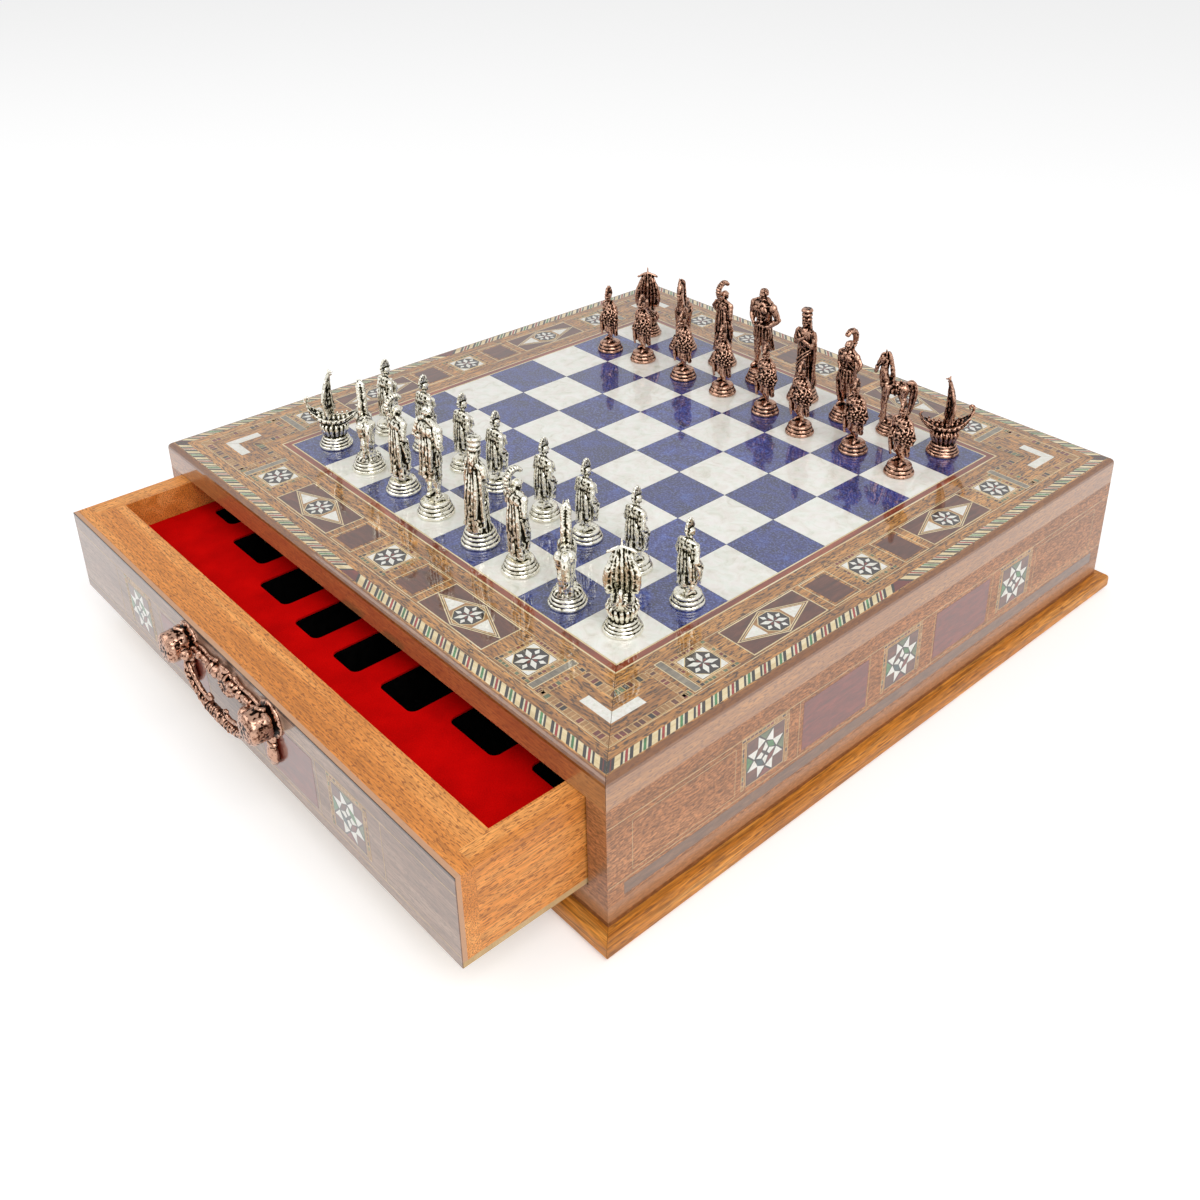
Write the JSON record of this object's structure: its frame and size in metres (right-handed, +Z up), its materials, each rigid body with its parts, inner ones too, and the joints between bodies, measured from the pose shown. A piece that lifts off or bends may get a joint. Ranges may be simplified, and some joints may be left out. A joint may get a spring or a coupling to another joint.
{
  "type": "chess box with drawers",
  "caption": "Square wooden chess box with a mosaic playing field on top, a drawer in each of two opposite sides, and a set of cast figural pieces standing on it.",
  "frame": {"origin": "middle of the underside, which is flat over the bottom panel and the base moulding", "axes": "+Z up, -Y towards the side where the open drawer comes out, +X to the right of that drawer seen from the front"},
  "size_m": [0.397, 0.474, 0.15],
  "materials": {
    "lacquered_walnut": "gloss",
    "walnut_veneer": "gloss",
    "beech": "satin",
    "oak_moulding": "satin",
    "birch_ply": "matte",
    "mother_of_pearl": "polished",
    "lapis": "polished",
    "mahogany": "gloss",
    "maple_line": "gloss",
    "striped_banding": "gloss",
    "red_felt": "matte",
    "black_tray": "satin",
    "antiqued_copper": "satin",
    "silvered_metal": "satin"
  },
  "bodies": {
    "box": {"base_moulding": "oak_moulding", "base_panel": "birch_ply", "side_walls": "walnut_veneer", "drawer_rails": "walnut_veneer", "centre_divider": "birch_ply", "drawer_runners": "beech", "top_panel": "birch_ply", "top_frame": "lacquered_walnut", "edge_banding": "striped_banding", "border_lines": "maple_line", "border_strips": "mahogany", "light_tiles": "mother_of_pearl", "dark_tiles": "lapis"},
    "front_drawer": {"front_drawer_board": "beech", "front_drawer_frame": "beech", "front_drawer_bottom": "birch_ply", "front_drawer_tray": "black_tray", "front_drawer_felt": "red_felt", "front_handle_mount": "antiqued_copper"},
    "front_bail": {"front_handle_bail": "antiqued_copper"},
    "rear_drawer": {"rear_drawer_board": "beech", "rear_drawer_frame": "beech", "rear_drawer_bottom": "birch_ply", "rear_drawer_tray": "black_tray", "rear_drawer_felt": "red_felt", "rear_handle_mount": "antiqued_copper"},
    "rear_bail": {"rear_handle_bail": "antiqued_copper"},
    "silver_pawn_1_piece": {"silver_pawn_1": "silvered_metal"},
    "silver_pawn_2_piece": {"silver_pawn_2": "silvered_metal"},
    "silver_pawn_3_piece": {"silver_pawn_3": "silvered_metal"},
    "silver_pawn_4_piece": {"silver_pawn_4": "silvered_metal"},
    "silver_pawn_5_piece": {"silver_pawn_5": "silvered_metal"},
    "silver_pawn_6_piece": {"silver_pawn_6": "silvered_metal"},
    "silver_pawn_7_piece": {"silver_pawn_7": "silvered_metal"},
    "silver_pawn_8_piece": {"silver_pawn_8": "silvered_metal"},
    "silver_rook_left_piece": {"silver_rook_left": "silvered_metal"},
    "silver_knight_left_piece": {"silver_knight_left": "silvered_metal"},
    "silver_bishop_left_piece": {"silver_bishop_left": "silvered_metal"},
    "silver_king_piece": {"silver_king": "silvered_metal"},
    "silver_queen_piece": {"silver_queen": "silvered_metal"},
    "silver_bishop_right_piece": {"silver_bishop_right": "silvered_metal"},
    "silver_knight_right_piece": {"silver_knight_right": "silvered_metal"},
    "silver_rook_right_piece": {"silver_rook_right": "silvered_metal"},
    "copper_pawn_1_piece": {"copper_pawn_1": "antiqued_copper"},
    "copper_pawn_2_piece": {"copper_pawn_2": "antiqued_copper"},
    "copper_pawn_3_piece": {"copper_pawn_3": "antiqued_copper"},
    "copper_pawn_4_piece": {"copper_pawn_4": "antiqued_copper"},
    "copper_pawn_5_piece": {"copper_pawn_5": "antiqued_copper"},
    "copper_pawn_6_piece": {"copper_pawn_6": "antiqued_copper"},
    "copper_pawn_7_piece": {"copper_pawn_7": "antiqued_copper"},
    "copper_pawn_8_piece": {"copper_pawn_8": "antiqued_copper"},
    "copper_rook_left_piece": {"copper_rook_left": "antiqued_copper"},
    "copper_knight_left_piece": {"copper_knight_left": "antiqued_copper"},
    "copper_bishop_left_piece": {"copper_bishop_left": "antiqued_copper"},
    "copper_king_piece": {"copper_king": "antiqued_copper"},
    "copper_queen_piece": {"copper_queen": "antiqued_copper"},
    "copper_bishop_right_piece": {"copper_bishop_right": "antiqued_copper"},
    "copper_knight_right_piece": {"copper_knight_right": "antiqued_copper"},
    "copper_rook_right_piece": {"copper_rook_right": "antiqued_copper"}
  },
  "joints": [
    {"name": "front_drawer_slide", "type": "slide", "parent": "box", "child": "front_drawer", "axis": [0, -1, 0], "range_m": [-0.062, 0.088]},
    {"name": "rear_drawer_slide", "type": "slide", "parent": "box", "child": "rear_drawer", "axis": [0, 1, 0], "range_m": [0, 0.15]},
    {"name": "front_bail_hinge", "type": "hinge", "parent": "front_drawer", "child": "front_bail", "pos_m": [0, -0.2615, 0.0625], "axis": [-1, 0, 0], "range_deg": [-12, 170]},
    {"name": "rear_bail_hinge", "type": "hinge", "parent": "rear_drawer", "child": "rear_bail", "pos_m": [0, 0.1995, 0.0625], "axis": [1, 0, 0], "range_deg": [-12, 170]},
    {"name": "silver_pawn_1_lift", "type": "slide", "parent": "box", "child": "silver_pawn_1_piece", "axis": [0, 0, 1], "range_m": [0, 0.08]},
    {"name": "silver_pawn_2_lift", "type": "slide", "parent": "box", "child": "silver_pawn_2_piece", "axis": [0, 0, 1], "range_m": [0, 0.08]},
    {"name": "silver_pawn_3_lift", "type": "slide", "parent": "box", "child": "silver_pawn_3_piece", "axis": [0, 0, 1], "range_m": [0, 0.08]},
    {"name": "silver_pawn_4_lift", "type": "slide", "parent": "box", "child": "silver_pawn_4_piece", "axis": [0, 0, 1], "range_m": [0, 0.08]},
    {"name": "silver_pawn_5_lift", "type": "slide", "parent": "box", "child": "silver_pawn_5_piece", "axis": [0, 0, 1], "range_m": [0, 0.08]},
    {"name": "silver_pawn_6_lift", "type": "slide", "parent": "box", "child": "silver_pawn_6_piece", "axis": [0, 0, 1], "range_m": [0, 0.08]},
    {"name": "silver_pawn_7_lift", "type": "slide", "parent": "box", "child": "silver_pawn_7_piece", "axis": [0, 0, 1], "range_m": [0, 0.08]},
    {"name": "silver_pawn_8_lift", "type": "slide", "parent": "box", "child": "silver_pawn_8_piece", "axis": [0, 0, 1], "range_m": [0, 0.08]},
    {"name": "silver_rook_left_lift", "type": "slide", "parent": "box", "child": "silver_rook_left_piece", "axis": [0, 0, 1], "range_m": [0, 0.08]},
    {"name": "silver_knight_left_lift", "type": "slide", "parent": "box", "child": "silver_knight_left_piece", "axis": [0, 0, 1], "range_m": [0, 0.08]},
    {"name": "silver_bishop_left_lift", "type": "slide", "parent": "box", "child": "silver_bishop_left_piece", "axis": [0, 0, 1], "range_m": [0, 0.08]},
    {"name": "silver_king_lift", "type": "slide", "parent": "box", "child": "silver_king_piece", "axis": [0, 0, 1], "range_m": [0, 0.08]},
    {"name": "silver_queen_lift", "type": "slide", "parent": "box", "child": "silver_queen_piece", "axis": [0, 0, 1], "range_m": [0, 0.08]},
    {"name": "silver_bishop_right_lift", "type": "slide", "parent": "box", "child": "silver_bishop_right_piece", "axis": [0, 0, 1], "range_m": [0, 0.08]},
    {"name": "silver_knight_right_lift", "type": "slide", "parent": "box", "child": "silver_knight_right_piece", "axis": [0, 0, 1], "range_m": [0, 0.08]},
    {"name": "silver_rook_right_lift", "type": "slide", "parent": "box", "child": "silver_rook_right_piece", "axis": [0, 0, 1], "range_m": [0, 0.08]},
    {"name": "copper_pawn_1_lift", "type": "slide", "parent": "box", "child": "copper_pawn_1_piece", "axis": [0, 0, 1], "range_m": [0, 0.08]},
    {"name": "copper_pawn_2_lift", "type": "slide", "parent": "box", "child": "copper_pawn_2_piece", "axis": [0, 0, 1], "range_m": [0, 0.08]},
    {"name": "copper_pawn_3_lift", "type": "slide", "parent": "box", "child": "copper_pawn_3_piece", "axis": [0, 0, 1], "range_m": [0, 0.08]},
    {"name": "copper_pawn_4_lift", "type": "slide", "parent": "box", "child": "copper_pawn_4_piece", "axis": [0, 0, 1], "range_m": [0, 0.08]},
    {"name": "copper_pawn_5_lift", "type": "slide", "parent": "box", "child": "copper_pawn_5_piece", "axis": [0, 0, 1], "range_m": [0, 0.08]},
    {"name": "copper_pawn_6_lift", "type": "slide", "parent": "box", "child": "copper_pawn_6_piece", "axis": [0, 0, 1], "range_m": [0, 0.08]},
    {"name": "copper_pawn_7_lift", "type": "slide", "parent": "box", "child": "copper_pawn_7_piece", "axis": [0, 0, 1], "range_m": [0, 0.08]},
    {"name": "copper_pawn_8_lift", "type": "slide", "parent": "box", "child": "copper_pawn_8_piece", "axis": [0, 0, 1], "range_m": [0, 0.08]},
    {"name": "copper_rook_left_lift", "type": "slide", "parent": "box", "child": "copper_rook_left_piece", "axis": [0, 0, 1], "range_m": [0, 0.08]},
    {"name": "copper_knight_left_lift", "type": "slide", "parent": "box", "child": "copper_knight_left_piece", "axis": [0, 0, 1], "range_m": [0, 0.08]},
    {"name": "copper_bishop_left_lift", "type": "slide", "parent": "box", "child": "copper_bishop_left_piece", "axis": [0, 0, 1], "range_m": [0, 0.08]},
    {"name": "copper_king_lift", "type": "slide", "parent": "box", "child": "copper_king_piece", "axis": [0, 0, 1], "range_m": [0, 0.08]},
    {"name": "copper_queen_lift", "type": "slide", "parent": "box", "child": "copper_queen_piece", "axis": [0, 0, 1], "range_m": [0, 0.08]},
    {"name": "copper_bishop_right_lift", "type": "slide", "parent": "box", "child": "copper_bishop_right_piece", "axis": [0, 0, 1], "range_m": [0, 0.08]},
    {"name": "copper_knight_right_lift", "type": "slide", "parent": "box", "child": "copper_knight_right_piece", "axis": [0, 0, 1], "range_m": [0, 0.08]},
    {"name": "copper_rook_right_lift", "type": "slide", "parent": "box", "child": "copper_rook_right_piece", "axis": [0, 0, 1], "range_m": [0, 0.08]}
  ]
}
